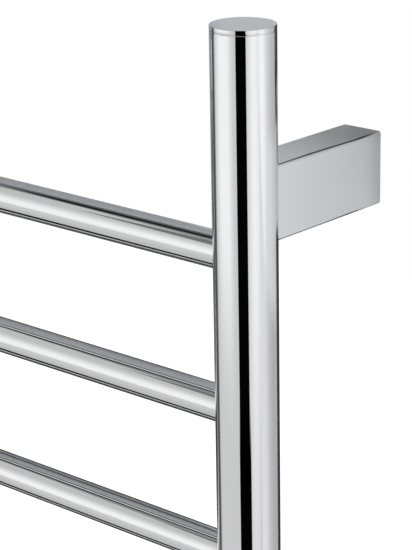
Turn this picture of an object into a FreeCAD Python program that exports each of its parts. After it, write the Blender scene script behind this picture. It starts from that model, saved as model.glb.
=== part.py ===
"""Electric ladder towel warmer, wall mounted: two round posts, a row of round bars between them and
four rectangular arms that stand the ladder off the wall.

Frame: millimetres, +X to the right as a person faces the rack, +Y towards the wall, +Z up.
The origin is the centre of the wall plane, midway between the four arms, so the wall is the plane Y = 0.
Each function below makes the solids of one sub-part, and main() writes one STEP file per sub-part.
"""

import math
import os

import FreeCAD
import Part

Vector = FreeCAD.Vector
X_AXIS = Vector(1, 0, 0)
Y_AXIS = Vector(0, 1, 0)
Z_AXIS = Vector(0, 0, 1)
LEFT, RIGHT = -1, 1
LOWER, UPPER = -1, 1

# Driving dimensions of the ladder.
POST_DIAMETER = 38.1
POST_WALL = 1.5
POST_SPACING = 560.0
BAR_DIAMETER = 22.4
BAR_WALL = 1.2
BAR_COUNT = 8
BAR_PITCH = 96.0
END_MARGIN = 135.8
WALL_DISTANCE = 110.0

# End caps.
CAP_FLANGE = 3.1
CAP_SPIGOT_LENGTH = 11.0
CAP_SPIGOT_WALL = 1.6
CAP_EDGE = 0.3
SEAM_CHAMFER = 0.2
SEAL_SECTION = 1.8
SEAL_DEPTH = 6.0

# Wall arms and what fastens them.
ARM_WIDTH = 28.4
ARM_HEIGHT = 45.4
ARM_SKIN = 2.0
ARM_EDGE_RADIUS = 1.8
ARM_WEB = 8.0
ARM_DROP = 104.1
BLOCK_DEPTH = 16.0
BLOCK_GAP = 0.2
WALL_HOLE_RADIUS = 2.75
WALL_HOLE_OFFSET = 13.5
COUNTERSINK_RADIUS = 5.2
BOLT_RADIUS = 3.0
BOLT_HEAD_RADIUS = 5.0
BOLT_HEAD_HEIGHT = 6.0
BOLT_SOCKET_FLATS = 5.0
BOLT_TIP = 9.5
WASHER_RADIUS = 5.9
WASHER_THICKNESS = 1.5
NUT_WIDTH = 14.0
NUT_HEIGHT = 18.0
NUT_THICKNESS = 6.0
GRUB_RADIUS = 2.5
GRUB_LENGTH = 8.0
GRUB_OFFSET = 8.3
GRUB_SOCKET_FLATS = 2.5

# Heating cable, which runs through every bar in turn.
CABLE_RADIUS = 2.0
CABLE_BEND = 18.0
CABLE_RUN_OFFSET = 9.0
RETURN_X = 2.0
RETURN_Y = -10.0
GUIDE_LENGTH = 8.0
GUIDE_CLEARANCE = 0.1
CRIMP_RADIUS = 3.0
CRIMP_LENGTH = 22.0

# Wiring in the lower right arm and post.
LEAD_RADIUS = 1.0
LEAD_BEND = 4.0
LEAD_HOLE_DROP = 14.0
LEAD_HOLE_RADIUS = 4.6
LEAD_SPREAD = 2.0
INLET_RADIUS = 4.0
INLET_SEAT_RADIUS = 5.5
TERMINAL_PITCH = 8.0
TERMINAL_WIDTH = 14.0
TERMINAL_NEAR = -32.0
TERMINAL_FAR = -52.0
TERMINAL_BORE = 1.6
TERMINAL_SCREW_RADIUS = 1.5
EARTH_RISE = 13.2
TAG_BARREL_RADIUS = 1.8
TAG_BARREL_LENGTH = 6.0
TAG_BARREL_DROP = 5.2
LEAD_GRIP = 3.0
CUTOUT_RADIUS = 3.5
CUTOUT_LENGTH = 14.0

# Push switch in the lower right cap.
BEZEL_RADIUS = 9.0
BEZEL_THICKNESS = 1.6
NECK_RADIUS = 7.9
SWITCH_LENGTH = 24.0
BUTTON_RADIUS = 5.4
BUTTON_PROUD = 1.0
BUTTON_HEAD = 6.0
BUTTON_TRAVEL = 2.5
BUTTON_GAP = 0.08
STEM_RADIUS = 2.5
SHELF_HEIGHT = 12.0
SHELF_THICKNESS = 2.0
SWITCH_BLADE_OFFSET = 4.0
SWITCH_BLADE_HEIGHT = 7.0
SPRING_WIRE = 0.6
SPRING_MEAN_RADIUS = 3.9
SPRING_TURNS = 4.5
SPRING_RUNS_PER_TURN = 8
SPRING_BEND = 3.6

# Fits.
SLIP = 0.05
BOLT_CLEARANCE = 0.3

# Derived sizes and places.
HEIGHT = 2 * END_MARGIN + (BAR_COUNT - 1) * BAR_PITCH
POST_RADIUS = POST_DIAMETER / 2
POST_BORE = POST_RADIUS - POST_WALL
POST_Y = -WALL_DISTANCE
BAR_RADIUS = BAR_DIAMETER / 2
BAR_BORE = BAR_RADIUS - BAR_WALL
TOP = HEIGHT / 2
BOTTOM = -HEIGHT / 2
BAR_HEIGHTS = [TOP - END_MARGIN - row * BAR_PITCH for row in range(BAR_COUNT)]
BAR_REACH = math.sqrt(POST_BORE**2 - BAR_RADIUS**2) - 1.0
BAR_END = POST_SPACING / 2 - BAR_REACH
ARM_CENTRE = TOP - ARM_DROP
WEB_Y = POST_Y + POST_RADIUS + ARM_WEB
SPIGOT_RADIUS = POST_BORE - 0.2
WIRED_X = POST_SPACING / 2
WIRED_Z = -ARM_CENTRE
LEAD_HOLE_Z = WIRED_Z - LEAD_HOLE_DROP
BLADE_TOP = BOTTOM + SWITCH_LENGTH + SWITCH_BLADE_HEIGHT


def cylinder(radius, length, base, direction=Z_AXIS):
    """A solid cylinder from its base point along a direction."""
    return Part.makeCylinder(radius, length, Vector(*base), direction)


def block(low, high):
    """A box between two opposite corners."""
    size = [b - a for a, b in zip(low, high)]
    return Part.makeBox(*size, Vector(*low))


def revolved(profile, centre_x, centre_y):
    """The solid that a closed outline of (radius, height) points sweeps about a vertical axis."""
    points = [Vector(centre_x + radius, centre_y, height) for radius, height in profile]
    face = Part.Face(Part.makePolygon(points + points[:1]))
    return face.revolve(Vector(centre_x, centre_y, 0), Z_AXIS, 360)


def hexagon(flats, length, base, direction):
    """A hexagonal prism, for sockets and nuts."""
    corner = flats / math.sqrt(3)
    side = X_AXIS if abs(direction.dot(X_AXIS)) < 0.5 else Z_AXIS
    spokes = [FreeCAD.Rotation(direction, 60 * k).multVec(side * corner) for k in range(7)]
    points = [Vector(*base) + spoke for spoke in spokes]
    return Part.Face(Part.makePolygon(points)).extrude(direction * length)


def cut(solid, tools):
    """The solid with every tool taken out of it."""
    return solid.cut(tools) if tools else solid


def routed_tube(points, radius, bend):
    """A round tube along straight runs, joined at each inner point by a tangent arc of the bend radius."""
    points = [Vector(*p) for p in points]
    edges = []
    start = points[0]
    for before, corner, after in zip(points, points[1:], points[2:]):
        into = (corner - before).normalize()
        out = (after - corner).normalize()
        turn = into.getAngle(out)
        setback = bend * math.tan(turn / 2)
        arc_start = corner - into * setback
        arc_end = corner + out * setback
        middle_way = (out - into).normalize()
        middle = corner + middle_way * (bend / math.cos(turn / 2) - bend)
        edges.append(Part.LineSegment(start, arc_start).toShape())
        edges.append(Part.Arc(arc_start, middle, arc_end).toShape())
        start = arc_end
    edges.append(Part.LineSegment(start, points[-1]).toShape())
    path = Part.Wire(edges)
    ring = Part.Wire(Part.Circle(points[0], (points[1] - points[0]).normalize(), radius).toShape())
    tube = path.makePipeShell([ring], True, False)
    expected = math.pi * radius**2 * path.Length
    error = tube.Volume / expected - 1
    print(f"  tube r {radius}: length {path.Length:.1f}, bend {bend}, volume off by {error:+.5f}")
    return tube


def post_x(side):
    """X of a post's axis."""
    return side * POST_SPACING / 2


def arm_places():
    """Name, side and height of each of the four arms."""
    return [
        (f"{level_name}_{side_name}", side, level * ARM_CENTRE)
        for level, level_name in ((UPPER, "upper"), (LOWER, "lower"))
        for side, side_name in ((LEFT, "left"), (RIGHT, "right"))
    ]


def post(side):
    """One upright tube: a hole for each bar, a bolt hole behind each arm, and the lead hole on the right."""
    low, high = BOTTOM + CAP_FLANGE, TOP - CAP_FLANGE
    shell = revolved(
        [
            (POST_BORE, low),
            (POST_RADIUS - SEAM_CHAMFER, low),
            (POST_RADIUS, low + SEAM_CHAMFER),
            (POST_RADIUS, high - SEAM_CHAMFER),
            (POST_RADIUS - SEAM_CHAMFER, high),
            (POST_BORE, high),
        ],
        post_x(side),
        POST_Y,
    )
    x = post_x(side)
    holes = [cylinder(BAR_RADIUS + SLIP, POST_DIAMETER, (x, POST_Y, z), X_AXIS * -side) for z in BAR_HEIGHTS]
    for level in (LOWER, UPPER):
        bolt_hole = BOLT_RADIUS + BOLT_CLEARANCE
        holes.append(cylinder(bolt_hole, POST_DIAMETER, (x, POST_Y, level * ARM_CENTRE), Y_AXIS))
    if side == RIGHT:
        holes.append(cylinder(LEAD_HOLE_RADIUS, POST_DIAMETER, (WIRED_X, POST_Y, LEAD_HOLE_Z), Y_AXIS))
    return cut(shell, holes)


def bar(height):
    """One horizontal tube, whose ends reach just inside both posts."""
    start = (-BAR_END, POST_Y, height)
    outer = cylinder(BAR_RADIUS, 2 * BAR_END, start, X_AXIS)
    return outer.cut(cylinder(BAR_BORE, 2 * BAR_END, start, X_AXIS))


def cap_profile(end, hole_radius):
    """Half outline of an end cap: visible flange, then a spigot with a groove for its seal."""
    outer_end = end * TOP
    inner_end = end * (TOP - CAP_FLANGE)
    spigot_end = end * (TOP - CAP_FLANGE - CAP_SPIGOT_LENGTH)
    groove_near = end * (TOP - CAP_FLANGE - SEAL_DEPTH + SEAL_SECTION * 0.65)
    groove_far = end * (TOP - CAP_FLANGE - SEAL_DEPTH - SEAL_SECTION * 0.65)
    groove_radius = POST_BORE - SEAL_SECTION - SLIP
    spigot_bore = groove_radius - CAP_SPIGOT_WALL
    return [
        (hole_radius, outer_end),
        (POST_RADIUS - CAP_EDGE, outer_end),
        (POST_RADIUS, outer_end - end * CAP_EDGE),
        (POST_RADIUS, inner_end + end * SEAM_CHAMFER),
        (POST_RADIUS - SEAM_CHAMFER, inner_end),
        (SPIGOT_RADIUS, inner_end),
        (SPIGOT_RADIUS, groove_near),
        (groove_radius, groove_near),
        (groove_radius, groove_far),
        (SPIGOT_RADIUS, groove_far),
        (SPIGOT_RADIUS, spigot_end),
        (spigot_bore, spigot_end),
        (spigot_bore, inner_end),
        (hole_radius, inner_end),
    ]


def plain_cap(side, end):
    """A closed end cap."""
    return revolved(cap_profile(end, 0.0), post_x(side), POST_Y)


def switch_cap():
    """The lower right cap, bored and counterbored for the push switch."""
    cap = revolved(cap_profile(LOWER, NECK_RADIUS + SLIP), post_x(RIGHT), POST_Y)
    return cap.cut(cylinder(BEZEL_RADIUS + SLIP, BEZEL_THICKNESS, (WIRED_X, POST_Y, BOTTOM)))


def cap_seals():
    """One O-ring on each cap's spigot."""
    ring_radius = POST_BORE - SEAL_SECTION / 2 - SLIP / 2
    seals = []
    for side in (LEFT, RIGHT):
        for end in (LOWER, UPPER):
            centre = Vector(post_x(side), POST_Y, end * (TOP - CAP_FLANGE - SEAL_DEPTH))
            seals.append(Part.makeTorus(ring_radius, SEAL_SECTION / 2, centre))
    return seals


def arm(side, height):
    """A hollow rectangular arm: round-edged, coped to the post at the front, and open at the wall end."""
    x = post_x(side)
    half_width, half_height = ARM_WIDTH / 2, ARM_HEIGHT / 2
    low, high = height - half_height, height + half_height
    body = block((x - half_width, POST_Y, low), (x + half_width, 0, high))
    edges = [e for e in body.Edges if not all(abs(v.Y - POST_Y) < 0.01 for v in e.Vertexes)]
    body = body.makeFillet(ARM_EDGE_RADIUS, edges)
    inner = half_width - ARM_SKIN
    tools = [
        cylinder(POST_RADIUS + SLIP, ARM_HEIGHT * 2, (x, POST_Y, height - ARM_HEIGHT)),
        block((x - inner, WEB_Y, low + ARM_SKIN), (x + inner, 1, high - ARM_SKIN)),
        cylinder(BOLT_RADIUS + BOLT_CLEARANCE, WALL_DISTANCE, (x, POST_Y, height), Y_AXIS),
        cylinder(GRUB_RADIUS + SLIP, 2 * ARM_SKIN, (grub_x(side), -BLOCK_DEPTH / 2, low - 1)),
    ]
    if (side, height) == (RIGHT, WIRED_Z):
        tools.append(cylinder(LEAD_HOLE_RADIUS, WALL_DISTANCE / 2, (x, POST_Y, LEAD_HOLE_Z), Y_AXIS))
        tools.append(cylinder(GRUB_RADIUS, 6, (x, WEB_Y - 5, height + EARTH_RISE), Y_AXIS))
    return cut(body, tools)


def grub_x(side):
    """X of an arm's grub screw, set off towards the middle of the ladder to miss the wall screws."""
    return post_x(side) - side * GRUB_OFFSET


def wall_block(side, height):
    """The block that screws to the wall and fills the arm's open end."""
    x = post_x(side)
    half_width = ARM_WIDTH / 2 - ARM_SKIN - BLOCK_GAP
    half_height = ARM_HEIGHT / 2 - ARM_SKIN - BLOCK_GAP
    low, high = height - half_height, height + half_height
    body = block((x - half_width, -BLOCK_DEPTH, low), (x + half_width, 0, high))
    sink_depth = COUNTERSINK_RADIUS - WALL_HOLE_RADIUS
    tools = [cylinder(GRUB_RADIUS + SLIP, GRUB_LENGTH + 1, (grub_x(side), -BLOCK_DEPTH / 2, low - 1))]
    for offset in (-WALL_HOLE_OFFSET, WALL_HOLE_OFFSET):
        front = Vector(x, -BLOCK_DEPTH, height + offset)
        tools.append(cylinder(WALL_HOLE_RADIUS, BLOCK_DEPTH, front, Y_AXIS))
        tools.append(Part.makeCone(COUNTERSINK_RADIUS, WALL_HOLE_RADIUS, sink_depth, front, Y_AXIS))
    if (side, height) == (RIGHT, WIRED_Z):
        tools.append(cylinder(INLET_SEAT_RADIUS, BLOCK_DEPTH, (x, -BLOCK_DEPTH, height), Y_AXIS))
    return cut(body, tools)


def arm_bolts():
    """The socket screws that pull each arm onto its post."""
    bolts = []
    for _, side, height in arm_places():
        x = post_x(side)
        head_y = WEB_Y + WASHER_THICKNESS
        shank = cylinder(BOLT_RADIUS, head_y - POST_Y - BOLT_TIP, (x, POST_Y + BOLT_TIP, height), Y_AXIS)
        head = cylinder(BOLT_HEAD_RADIUS, BOLT_HEAD_HEIGHT, (x, head_y, height), Y_AXIS)
        socket = hexagon(BOLT_SOCKET_FLATS, 6.0, (x, head_y + BOLT_HEAD_HEIGHT / 2, height), Y_AXIS)
        bolts.append(shank.fuse(head).cut(socket).removeSplitter())
    return bolts


def arm_washers():
    """A split spring washer under each arm bolt's head."""
    washers = []
    for _, side, height in arm_places():
        x = post_x(side)
        ring = cylinder(WASHER_RADIUS, WASHER_THICKNESS, (x, WEB_Y, height), Y_AXIS)
        hole = cylinder(BOLT_RADIUS + SLIP, WASHER_THICKNESS, (x, WEB_Y, height), Y_AXIS)
        slit = block((x - 0.5, WEB_Y - 1, height), (x + 0.5, WEB_Y + 4, height + 8))
        washers.append(ring.cut([hole, slit]))
    return washers


def saddle_nuts():
    """A threaded plate inside the post behind each arm, curved to the post's bore."""
    nuts = []
    for _, side, height in arm_places():
        x = post_x(side)
        far = POST_Y + POST_BORE
        low, high = height - NUT_HEIGHT / 2, height + NUT_HEIGHT / 2
        plate = block((x - NUT_WIDTH / 2, far - NUT_THICKNESS, low), (x + NUT_WIDTH / 2, far, high))
        plate = plate.common(cylinder(POST_BORE - SLIP, NUT_HEIGHT, (x, POST_Y, low)))
        nuts.append(plate.cut(cylinder(BOLT_RADIUS + SLIP, POST_DIAMETER, (x, POST_Y, height), Y_AXIS)))
    return nuts


def grub_screws():
    """The set screw under each arm, which locks it to the wall block."""
    screws = []
    for _, side, height in arm_places():
        base = (grub_x(side), -BLOCK_DEPTH / 2, height - ARM_HEIGHT / 2 + 0.3)
        body = cylinder(GRUB_RADIUS, GRUB_LENGTH, base)
        screws.append(body.cut(hexagon(GRUB_SOCKET_FLATS, GRUB_LENGTH / 2, base, Z_AXIS)))
    return screws


def cable_route():
    """Corner points of the heating cable: up from its start, through every bar, and back down the post."""
    outward = CABLE_RUN_OFFSET
    points = [(WIRED_X + outward, POST_Y, WIRED_Z - LEAD_HOLE_DROP + 5.0)]
    side = RIGHT
    for row in reversed(range(BAR_COUNT)):
        points.append((post_x(side) + side * outward, POST_Y, BAR_HEIGHTS[row]))
        side = -side
        points.append((post_x(side) + side * outward, POST_Y, BAR_HEIGHTS[row]))
    shift_top = BAR_HEIGHTS[0] - 2 * CABLE_BEND
    points.append((WIRED_X + outward, POST_Y, shift_top))
    points.append((WIRED_X + RETURN_X, POST_Y + RETURN_Y, shift_top - 2 * CABLE_BEND))
    points.append((WIRED_X + RETURN_X, POST_Y + RETURN_Y, return_crimp_top()))
    return points


def return_crimp_top():
    """Height at which the cable's return end enters its crimp."""
    return LEAD_HOLE_Z + 10.0 + CRIMP_LENGTH


def start_crimp_top():
    """Height at which the cable's first end enters its crimp."""
    return cable_route()[0][2]


def heating_cable():
    """The whole heating cable as one tube."""
    return routed_tube(cable_route(), CABLE_RADIUS, CABLE_BEND)


def cable_guides():
    """A rubber bush in each end of each bar, which holds the cable in the middle."""
    guides = []
    for height in BAR_HEIGHTS:
        for side in (LEFT, RIGHT):
            base = (side * (BAR_END - 1.0), POST_Y, height)
            outer = cylinder(BAR_BORE - GUIDE_CLEARANCE, GUIDE_LENGTH, base, X_AXIS * -side)
            hole = cylinder(CABLE_RADIUS + GUIDE_CLEARANCE, GUIDE_LENGTH, base, X_AXIS * -side)
            guides.append(outer.cut(hole))
    return guides


def crimp_sleeves():
    """The two joints between the heating cable and its cold leads."""
    start = (WIRED_X + CABLE_RUN_OFFSET, POST_Y, start_crimp_top() - CRIMP_LENGTH)
    back = (WIRED_X + RETURN_X, POST_Y + RETURN_Y, return_crimp_top() - CRIMP_LENGTH)
    return [cylinder(CRIMP_RADIUS, CRIMP_LENGTH, base) for base in (start, back)]


def cutout_base():
    """Lower end of the thermal cut-out, which hangs in line below the first crimp."""
    return (WIRED_X + CABLE_RUN_OFFSET, POST_Y, start_crimp_top() - CRIMP_LENGTH - 6.0 - CUTOUT_LENGTH)


def thermal_cutout():
    """The thermal fuse: a can with a stepped ceramic end."""
    x, y, low = cutout_base()
    can_length = CUTOUT_LENGTH - 3.0
    can = cylinder(CUTOUT_RADIUS, can_length, (x, y, low))
    return can.fuse(cylinder(CUTOUT_RADIUS - 1.2, 3.0, (x, y, low + can_length)))


def terminal_height(way):
    """Height of a way of the terminal block: 1 is earth, 0 neutral and -1 live."""
    return WIRED_Z + way * TERMINAL_PITCH


def terminal_block():
    """Three-way block in the wired arm, with a wire bore and two screw holes for each way."""
    half = TERMINAL_WIDTH / 2
    half_height = 1.5 * TERMINAL_PITCH
    body = block(
        (WIRED_X - half, TERMINAL_FAR, WIRED_Z - half_height),
        (WIRED_X + half, TERMINAL_NEAR, WIRED_Z + half_height),
    )
    tools = []
    length = TERMINAL_NEAR - TERMINAL_FAR
    for way in (-1, 0, 1):
        z = terminal_height(way)
        tools.append(cylinder(TERMINAL_BORE, length, (WIRED_X, TERMINAL_FAR, z), Y_AXIS))
        for y in terminal_screw_places():
            tools.append(cylinder(TERMINAL_SCREW_RADIUS + SLIP, half, (WIRED_X, y, z), X_AXIS))
    return cut(body, tools)


def terminal_screw_places():
    """Y of the two screws of each way."""
    return TERMINAL_FAR + 5.0, TERMINAL_NEAR - 5.0


def terminal_screws():
    """The clamping screws of the terminal block."""
    start = WIRED_X + TERMINAL_BORE
    length = TERMINAL_WIDTH / 2 - TERMINAL_BORE - 1.0
    screws = []
    for way in (-1, 0, 1):
        z = terminal_height(way)
        for y in terminal_screw_places():
            screw = cylinder(TERMINAL_SCREW_RADIUS, length, (start, y, z), X_AXIS)
            slot = block((start + length - 0.8, y - 2, z - 0.25), (start + length + 1, y + 2, z + 0.25))
            screws.append(screw.cut(slot))
    return screws


def lead_live():
    """Live lead: terminal block, through the post grommet, down to the switch."""
    x = WIRED_X - LEAD_SPREAD
    return routed_tube(
        [
            (WIRED_X, TERMINAL_FAR + LEAD_GRIP, terminal_height(-1)),
            (WIRED_X, TERMINAL_FAR - 6.0, terminal_height(-1)),
            (x, TERMINAL_FAR - 16.0, LEAD_HOLE_Z),
            (x, POST_Y + 3.0, LEAD_HOLE_Z),
            (x, POST_Y + 3.0, LEAD_HOLE_Z - 14.0),
            (WIRED_X - SWITCH_BLADE_OFFSET, POST_Y, BLADE_TOP + 14.0),
            (WIRED_X - SWITCH_BLADE_OFFSET, POST_Y, BLADE_TOP),
        ],
        LEAD_RADIUS,
        LEAD_BEND,
    )


def lead_neutral():
    """Neutral lead: terminal block, through the post grommet, up to the cable's return crimp."""
    x = WIRED_X + LEAD_SPREAD
    return routed_tube(
        [
            (WIRED_X, TERMINAL_FAR + LEAD_GRIP, terminal_height(0)),
            (WIRED_X, TERMINAL_FAR - 6.0, terminal_height(0)),
            (x, TERMINAL_FAR - 16.0, LEAD_HOLE_Z),
            (x, POST_Y + RETURN_Y, LEAD_HOLE_Z),
            (x, POST_Y + RETURN_Y, return_crimp_top() - CRIMP_LENGTH),
        ],
        LEAD_RADIUS,
        LEAD_BEND,
    )


def lead_switched():
    """Switched lead in two lengths: crimp to cut-out, and cut-out to switch."""
    x, y, low = cutout_base()
    crimp_bottom = start_crimp_top() - CRIMP_LENGTH
    upper = cylinder(LEAD_RADIUS, crimp_bottom - low - CUTOUT_LENGTH, (x, y, low + CUTOUT_LENGTH))
    lower = routed_tube(
        [
            (x, y, low),
            (x, y, low - 5.0),
            (WIRED_X + SWITCH_BLADE_OFFSET, y, BLADE_TOP + 5.0),
            (WIRED_X + SWITCH_BLADE_OFFSET, y, BLADE_TOP),
        ],
        LEAD_RADIUS,
        LEAD_BEND,
    )
    return [upper, lower]


def earth_place():
    """Centre of the earth screw on the inner face of the wired arm's web."""
    return WIRED_X, WEB_Y, WIRED_Z + EARTH_RISE


def earth_tag():
    """Ring tag with a short barrel for the earth lead."""
    x, y, z = earth_place()
    ring = cylinder(4.0, 0.8, (x, y, z), Y_AXIS)
    barrel = cylinder(TAG_BARREL_RADIUS, TAG_BARREL_LENGTH, (x, y, z - TAG_BARREL_DROP), Y_AXIS)
    strap = block((x - 1.8, y, z - TAG_BARREL_DROP), (x + 1.8, y + 0.8, z))
    return ring.fuse([strap, barrel]).cut(cylinder(GRUB_RADIUS, 3, (x, y - 1, z), Y_AXIS)).removeSplitter()


def earth_screw():
    """Pan-head screw that holds the earth tag."""
    x, y, z = earth_place()
    shank = cylinder(GRUB_RADIUS - 0.2, 5.0, (x, y - 4.2, z), Y_AXIS)
    head = cylinder(3.2, 2.4, (x, y + 0.8, z), Y_AXIS)
    slot = block((x - 4, y + 2.2, z - 0.4), (x + 4, y + 4, z + 0.4))
    return shank.fuse(head).cut(slot).removeSplitter()


def lead_earth():
    """Earth lead: terminal block to the tag's barrel."""
    x, y, z = earth_place()
    length = TERMINAL_FAR + LEAD_GRIP - y - TAG_BARREL_LENGTH
    return cylinder(LEAD_RADIUS, length, (x, y + TAG_BARREL_LENGTH, z - TAG_BARREL_DROP), Y_AXIS)


def post_grommet():
    """Rubber bush that carries the leads through the web and the post's wall."""
    near = POST_Y + POST_BORE - 1.5
    length = WEB_Y + 1.5 - near
    outer = cylinder(LEAD_HOLE_RADIUS - SLIP, length, (WIRED_X, near, LEAD_HOLE_Z), Y_AXIS)
    return outer.cut(cylinder(LEAD_HOLE_RADIUS - 1.2, length, (WIRED_X, near, LEAD_HOLE_Z), Y_AXIS))


def inlet_bush():
    """Rubber bush in the wired arm's wall block, where the supply cable enters."""
    outer = cylinder(INLET_SEAT_RADIUS - SLIP, BLOCK_DEPTH, (WIRED_X, -BLOCK_DEPTH, WIRED_Z), Y_AXIS)
    return outer.cut(cylinder(INLET_RADIUS, BLOCK_DEPTH, (WIRED_X, -BLOCK_DEPTH, WIRED_Z), Y_AXIS))


def switch_body():
    """Round switch housing: bezel in the cap's counterbore, neck, button bore, shelf and contact chamber."""
    chamber_floor = SHELF_HEIGHT + SHELF_THICKNESS
    bore = BUTTON_RADIUS + BUTTON_GAP
    face = (WIRED_X, POST_Y, BOTTOM)
    body = cylinder(BEZEL_RADIUS, BEZEL_THICKNESS, face).fuse(cylinder(NECK_RADIUS, SWITCH_LENGTH, face))
    chamber_height = SWITCH_LENGTH - 3.0 - chamber_floor
    tools = [
        cylinder(bore, SHELF_HEIGHT, face),
        cylinder(STEM_RADIUS + BUTTON_GAP, SWITCH_LENGTH - 4.0, face),
        cylinder(bore, chamber_height, (WIRED_X, POST_Y, BOTTOM + chamber_floor)),
        indicator_groove(0.0),
    ]
    return body.cut(tools).removeSplitter()


def indicator_groove(clearance):
    """The ring-shaped pocket in the bezel, less a clearance all round."""
    outer = cylinder(7.6 - clearance, 1.0 - clearance, (WIRED_X, POST_Y, BOTTOM))
    return outer.cut(cylinder(6.4 + clearance, 1.0, (WIRED_X, POST_Y, BOTTOM)))


def switch_nut():
    """Hexagonal ring nut that clamps the switch to the cap from inside the post."""
    base = (WIRED_X, POST_Y, BOTTOM + CAP_FLANGE)
    return hexagon(20.0, 3.0, base, Z_AXIS).cut(cylinder(NECK_RADIUS + SLIP, 3.0, base))


def switch_terminals():
    """The two blades on top of the switch."""
    blades = []
    for side in (LEFT, RIGHT):
        x = WIRED_X + side * SWITCH_BLADE_OFFSET
        foot = (x - 0.4, POST_Y - 2.0, BOTTOM + SWITCH_LENGTH)
        blades.append(block(foot, (x + 0.4, POST_Y + 2.0, BLADE_TOP)))
    return blades


def power_button():
    """The moving button: dished head, stem, and a collar above the shelf that keeps it in."""
    low = BOTTOM - BUTTON_PROUD
    collar_height = SHELF_HEIGHT + SHELF_THICKNESS + SLIP
    head = cylinder(BUTTON_RADIUS, BUTTON_HEAD, (WIRED_X, POST_Y, low))
    rim = [e for e in head.Edges if abs(e.BoundBox.ZMax - low) < 0.01]
    head = head.makeFillet(0.5, rim)
    head = head.cut(Part.makeSphere(30.0, Vector(WIRED_X, POST_Y, low - 30.0 + 0.35)))
    stem_length = collar_height + 2.0 - BUTTON_HEAD + BUTTON_PROUD
    stem = cylinder(STEM_RADIUS, stem_length, (WIRED_X, POST_Y, low + BUTTON_HEAD))
    collar = cylinder(4.2, 2.0, (WIRED_X, POST_Y, BOTTOM + collar_height))
    return head.fuse([stem, collar]).removeSplitter()


def button_spring():
    """Coil spring between the button's head and the shelf, wound as short runs joined by arcs."""
    low = BOTTOM - BUTTON_PROUD + BUTTON_HEAD + SPRING_WIRE / 2 + SLIP
    high = BOTTOM + SHELF_HEIGHT - SPRING_WIRE / 2 - SLIP
    step = 2 * math.pi / SPRING_RUNS_PER_TURN
    corner_radius = SPRING_MEAN_RADIUS / math.cos(step / 2)
    count = round(SPRING_TURNS * SPRING_RUNS_PER_TURN)
    points = [
        (
            WIRED_X + corner_radius * math.cos(k * step),
            POST_Y + corner_radius * math.sin(k * step),
            low + (high - low) * k / count,
        )
        for k in range(count + 1)
    ]
    return routed_tube(points, SPRING_WIRE / 2, SPRING_BEND)


def subparts():
    """Node name to its solid or solids."""
    made = {"post_left": post(LEFT), "post_right": post(RIGHT)}
    for row, height in enumerate(BAR_HEIGHTS):
        made[f"bar_{row + 1}"] = bar(height)
    made["cap_top_left"] = plain_cap(LEFT, UPPER)
    made["cap_top_right"] = plain_cap(RIGHT, UPPER)
    made["cap_bottom_left"] = plain_cap(LEFT, LOWER)
    made["cap_bottom_right"] = switch_cap()
    for name, side, height in arm_places():
        made[f"arm_{name}"] = arm(side, height)
        made[f"wall_block_{name}"] = wall_block(side, height)
    for maker in (
        cap_seals,
        arm_bolts,
        arm_washers,
        saddle_nuts,
        grub_screws,
        heating_cable,
        cable_guides,
        crimp_sleeves,
        thermal_cutout,
        terminal_block,
        terminal_screws,
        lead_live,
        lead_neutral,
        lead_switched,
        lead_earth,
        earth_tag,
        earth_screw,
        post_grommet,
        inlet_bush,
        switch_body,
        switch_nut,
        switch_terminals,
        power_button,
        button_spring,
    ):
        made[maker.__name__] = maker()
    made["indicator_ring"] = indicator_groove(SLIP)
    return made


def main():
    """Writes parts/NODE.step for every sub-part."""
    os.makedirs("parts", exist_ok=True)
    for name, shape in subparts().items():
        solids = shape if isinstance(shape, list) else shape.Solids
        whole = Part.makeCompound(solids) if len(solids) > 1 else solids[0]
        if not whole.isValid():
            print(f"  {name} is not a valid shape")
        whole.exportStep(f"parts/{name}.step")
        print(f"{name}: {len(whole.Solids)} solid(s), {whole.Volume / 1000:.2f} cm3")


main()
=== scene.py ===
"""Chrome ladder towel warmer: two round posts, eight round bars, four wall arms and a push switch.

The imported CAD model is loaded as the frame, the parts that are seen close up are made again as fine meshes, every
piece gets its finish, and a small pale studio is set round the rack. Sizes are in metres: +X to the right as a
person faces the rack, +Y into the wall, +Z up, and the origin at the centre of the wall plane.
"""

from __future__ import annotations

import logging
import math
from dataclasses import dataclass
from enum import Enum

import bmesh
import bpy
from mathutils import Matrix, Vector

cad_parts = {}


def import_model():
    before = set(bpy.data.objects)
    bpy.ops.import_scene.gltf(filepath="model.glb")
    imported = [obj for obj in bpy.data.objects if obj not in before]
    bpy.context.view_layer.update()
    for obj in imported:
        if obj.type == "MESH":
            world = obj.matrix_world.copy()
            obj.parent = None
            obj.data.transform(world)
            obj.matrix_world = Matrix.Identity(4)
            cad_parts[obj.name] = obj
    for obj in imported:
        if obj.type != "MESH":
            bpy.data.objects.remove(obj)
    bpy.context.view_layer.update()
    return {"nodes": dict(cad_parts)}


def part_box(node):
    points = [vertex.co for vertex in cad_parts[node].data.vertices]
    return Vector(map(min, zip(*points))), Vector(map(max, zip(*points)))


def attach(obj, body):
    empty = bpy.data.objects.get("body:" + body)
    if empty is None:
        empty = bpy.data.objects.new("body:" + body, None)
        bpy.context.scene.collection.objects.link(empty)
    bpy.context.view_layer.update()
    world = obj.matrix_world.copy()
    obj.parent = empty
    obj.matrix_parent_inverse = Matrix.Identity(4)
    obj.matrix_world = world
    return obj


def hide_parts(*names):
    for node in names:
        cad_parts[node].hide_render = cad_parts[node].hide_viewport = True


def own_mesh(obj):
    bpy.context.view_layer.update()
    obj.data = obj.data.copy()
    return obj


LOG = logging.getLogger("towel_warmer")

POST_RADIUS = 0.01905
POST_BORE = 0.01755
BAR_RADIUS = 0.0112
BAR_BORE = 0.0100
BAR_COUNT = 8
ARM_HALF_WIDTH = 0.0142
ARM_HALF_HEIGHT = 0.0227
CAP_FLANGE = 0.0031


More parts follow.
